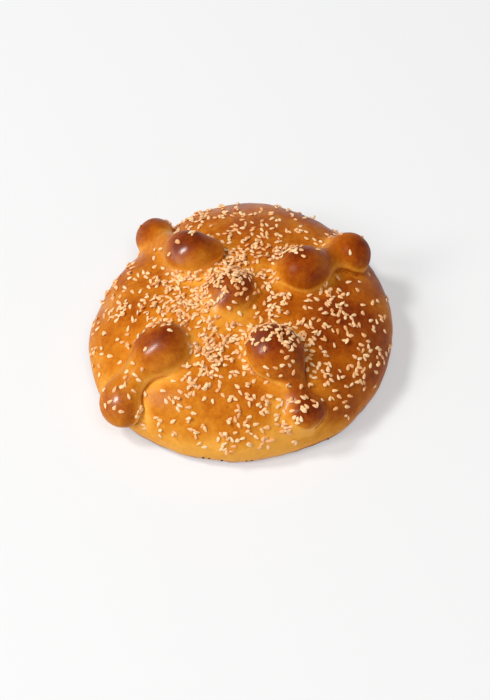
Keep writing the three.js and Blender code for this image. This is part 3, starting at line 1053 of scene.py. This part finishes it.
def throw_seeds(draw):
    """The quads that the seeds stay on, and how many other seeds each lies on."""
    diagonals = np.cross(
        quad_corners[:, 2] - quad_corners[:, 0],
        quad_corners[:, 3] - quad_corners[:, 1],
    )
    weight = np.linalg.norm(diagonals, axis=1) * quad_density
    tries = draw.choice(len(weight), SEED_TRIES, p=weight / weight.sum())
    kept, layers = [], []
    for quad in tries:
        if len(kept) == SEED_COUNT:
            break
        gaps = np.linalg.norm(quad_middles[kept] - quad_middles[quad], axis=1)
        under = int((gaps < SEED_TOUCH).sum())
        if under >= SEED_LAYERS or (gaps < SEED_CLOSEST).any():
            continue
        kept.append(quad)
        layers.append(under)
    return kept, np.array(layers)

def seed_frames(normals, layers, draw):
    """Three axes of every seed: along, across and up, with a little tilt."""
    tilt = np.where(layers > 0, SEED_TILT_ON_OTHERS, SEED_TILT)[:, None]
    up = unit(normals + tilt * draw.normal(size=normals.shape))
    along = unit(np.cross(up, draw.normal(size=normals.shape)))
    return np.stack([along, np.cross(up, along), up], axis=2)

seed_draw = np.random.default_rng(31)
seed_quads, seed_layers = throw_seeds(seed_draw)
seed_axes = seed_frames(quad_normals[seed_quads], seed_layers, seed_draw)
print(len(seed_quads), "seeds,", (seed_layers > 0).sum(), "on others")

# %% [markdown]
# ## The seeds' mesh
# All seeds are worked out at once: one drop, resized and turned by each seed's own axes, and set
# a little above the crust or the seeds below. No two are toasted alike, so each gets a tone.

# %% Seed mesh
SEED_SIZE_SPREAD = 0.08
SEED_SIZE_LIMITS = (0.8, 1.2)
SEED_BEDDING = 0.32  # height of a seed's middle above the crust, as a share of its thickness
LAYER_RISE = 0.8  # the same for each seed that it lies on

def copies_of_triangles(count):
    faces = drop_triangles + len(drop_vertices) * np.arange(count)[:, None, None]
    return faces.reshape(-1, 3)

seed_count = len(seed_quads)
seed_sizes = seed_draw.normal(1, SEED_SIZE_SPREAD, (seed_count, 1, 3)).clip(*SEED_SIZE_LIMITS)
rest_height = SEED_THICKNESS * (SEED_BEDDING + LAYER_RISE * seed_layers)
seed_middles = quad_middles[seed_quads] + rest_height[:, None] * quad_normals[seed_quads]
seed_vertices = np.einsum("nij,nvj->nvi", seed_axes, seed_sizes * drop_vertices)
seed_vertices = seed_vertices + seed_middles[:, None]
seeds = mesh_object("sesame_seeds", seed_vertices.reshape(-1, 3), copies_of_triangles(seed_count))
seed_tones = np.repeat(seed_draw.uniform(0, 1, seed_count), len(drop_vertices))
set_attribute(seeds, "tone", seed_tones)
print("the seeds have", len(seeds.data.polygons), "triangles")

# %% [markdown]
# ## Toasted sesame
# Hulled seeds are cream, and toast to tan in the oven. They are waxy and let a little light
# through, so the shader has some subsurface scattering and a weak coat. A thousand materials would
# be one way to vary them. The tone on the vertices does it with one.

# %% Sesame material
SESAME_COLOURS = [  # tone and linear colour
    (0.0, (0.80, 0.37, 0.13)),
    (0.4, (0.93, 0.53, 0.24)),
    (1.0, (0.97, 0.67, 0.37)),
]
TOAST_MOTTLE = (900, 2, 0.35)  # scale, detail and tone it adds
HULL_BUMPS = (2600, 2, 0.05 * MM)  # scale, detail and height
SESAME_FINISH = {
    "Roughness": 0.42,
    "Coat Weight": 0.2,
    "Coat Roughness": 0.25,
    "Subsurface Weight": 0.25,
    "Subsurface Radius": (1.0, 0.6, 0.3),
    "Subsurface Scale": 0.5 * MM,
}

def sesame_material():
    sesame, shader = new_material("hulled_sesame", SESAME_FINISH)
    tree = sesame.node_tree
    scale, detail, weight = TOAST_MOTTLE
    toasted = add_sum(tree, add_attribute(tree, "tone"), add_noise(tree, scale, detail), weight)
    tree.links.new(add_ramp(tree, toasted, SESAME_COLOURS), shader.inputs["Base Color"])
    scale, detail, height = HULL_BUMPS
    hull = add_bump(tree, add_noise(tree, scale, detail), height)
    tree.links.new(hull, shader.inputs["Normal"])
    return sesame

seeds.data.materials.append(sesame_material())
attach(seeds, "root")

# %% [markdown]
# ## Burnt crumbs
# A few crumbs of dough burnt black on the tray and stuck to the bread, most of them to its front
# edge. Dark specks in the crust's colour would lie flat, so each is a lump of its own, about
# a millimetre across: the seed's drop, made stubby and knocked uneven.

# %% Burnt crumbs
CRUMBS = [  # x, y and z of the place on the bread, and size
    (-20.9, -78.7, 6, 1.4),
    (-17.7, -79.2, 6, 1.1),
    (-11.4, -80.0, 5, 1.2),
    (2.0, -80.5, 5, 0.9),
    (5.0, -80.5, 5, 1.0),
    (-13.4, 35.1, 50, 1.0),
    (44.0, -63.0, 5, 1.0),
]
CRUMB_STUBBINESS = [0.35, 0.5, 0.9]  # how much of the seed's length, width and thickness it keeps
CRUMB_UNEVENNESS = 0.12
BURNT_DOUGH = {"Base Color": (0.035, 0.012, 0.004, 1), "Roughness": 0.7}

def make_crumbs(draw):
    lumps = []
    for x, y, z, size in CRUMBS:
        nearest = np.argmin(((bread_vertices - [x, y, z]) ** 2).sum(axis=1))
        lump = size * drop_vertices * CRUMB_STUBBINESS
        lump = lump + size * CRUMB_UNEVENNESS * draw.normal(size=lump.shape)
        axes = seed_frames(bread_normals[nearest][None], np.zeros(1), draw)[0]
        lumps.append(lump @ axes.T + bread_vertices[nearest])
    return mesh_object("crumbs", np.concatenate(lumps), copies_of_triangles(len(CRUMBS)))

crumbs = make_crumbs(np.random.default_rng(5))
burnt, _ = new_material("burnt_crumb", BURNT_DOUGH)
crumbs.data.materials.append(burnt)
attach(crumbs, "root")
print(len(CRUMBS), "burnt crumbs,", len(crumbs.data.polygons), "triangles")

# %% [markdown]
# ## Sizes
# Both boxes, of the solids and of what is shown, are printed side by side. The looks may
# not change the bread's size.

# %% Sizes and finish
shown_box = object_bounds()
sizes = {
    "solids": [list(corner) for corner in solid_box],
    "shown": [list(corner) for corner in shown_box],
}
print("solids", [tuple(round(1000 * side, 1) for side in corner) for corner in sizes["solids"]])
print("shown", [tuple(round(1000 * side, 1) for side in corner) for corner in sizes["shown"]])
